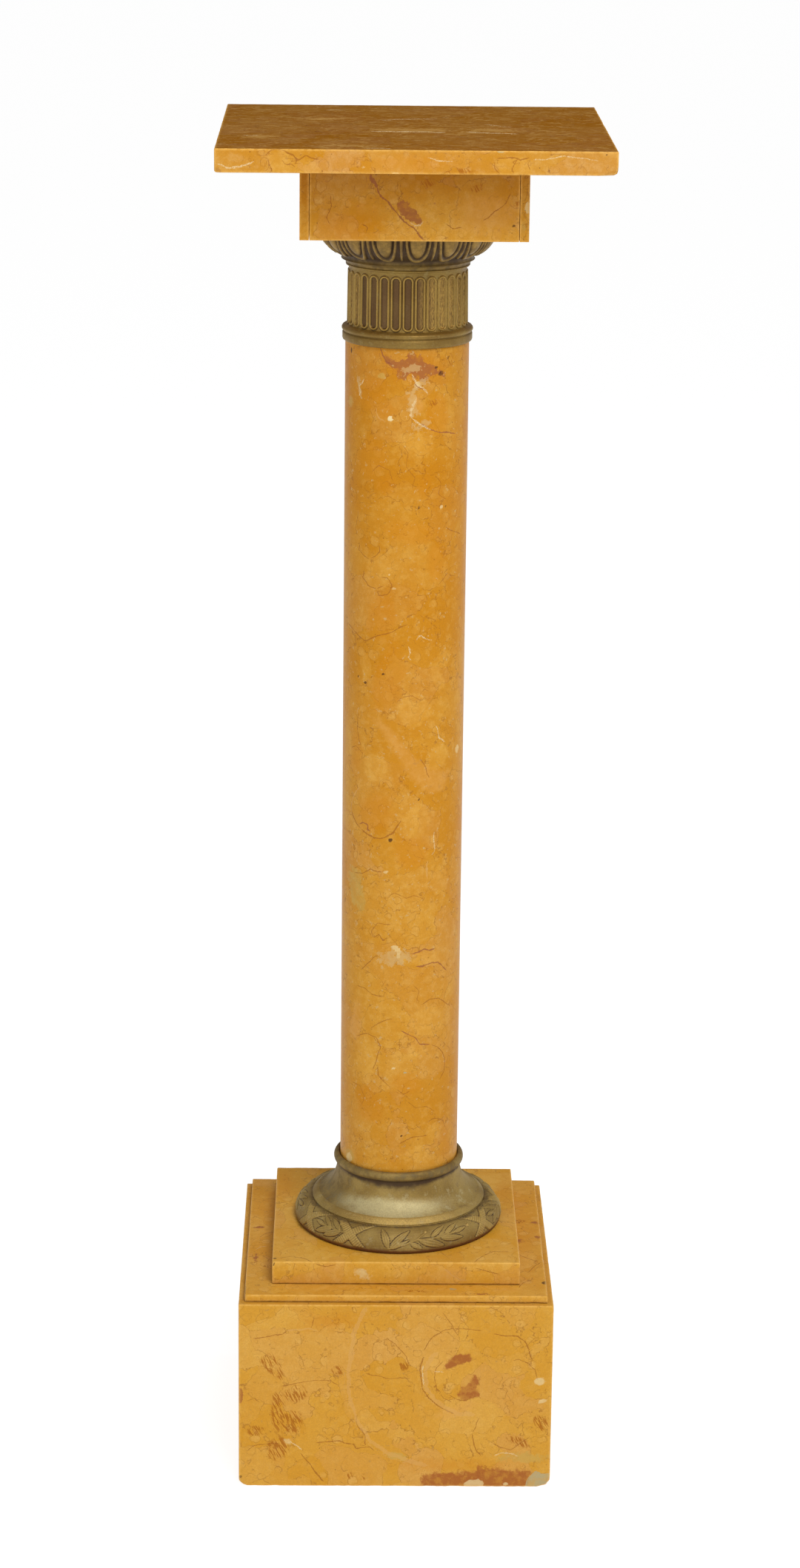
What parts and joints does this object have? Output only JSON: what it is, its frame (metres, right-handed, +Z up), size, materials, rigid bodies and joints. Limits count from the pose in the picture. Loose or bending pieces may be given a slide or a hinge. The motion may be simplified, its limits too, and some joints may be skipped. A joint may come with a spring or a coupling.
{
  "type": "marble pedestal with a plain column shaft between gilt brass mounts",
  "caption": "Yellow marble pedestal: a polished column shaft between gilt brass mounts, on a stepped square plinth under a square top slab.",
  "frame": {"origin": "on the floor, below the middle of the top slab", "axes": "+X to the right and -Y to the viewer as seen from the front, +Z up along the shaft"},
  "size_m": [0.29, 0.29, 1.0662],
  "materials": {
    "marble": "polished yellow marble with rounded cells, thin dark veins, pale patches and worn arrises",
    "brass": "old gilt brass, satin, olive gold with brown patina in the hollows"
  },
  "bodies": {
    "root": {"top_slab": "marble", "abacus_block": "marble", "abacus_side_left": "marble", "abacus_side_right": "marble", "capital": "brass", "shaft": "marble", "base_mount": "brass", "plinth_upper_slab": "marble", "plinth_thin_slab": "marble", "plinth_block": "marble"}
  },
  "joints": []
}
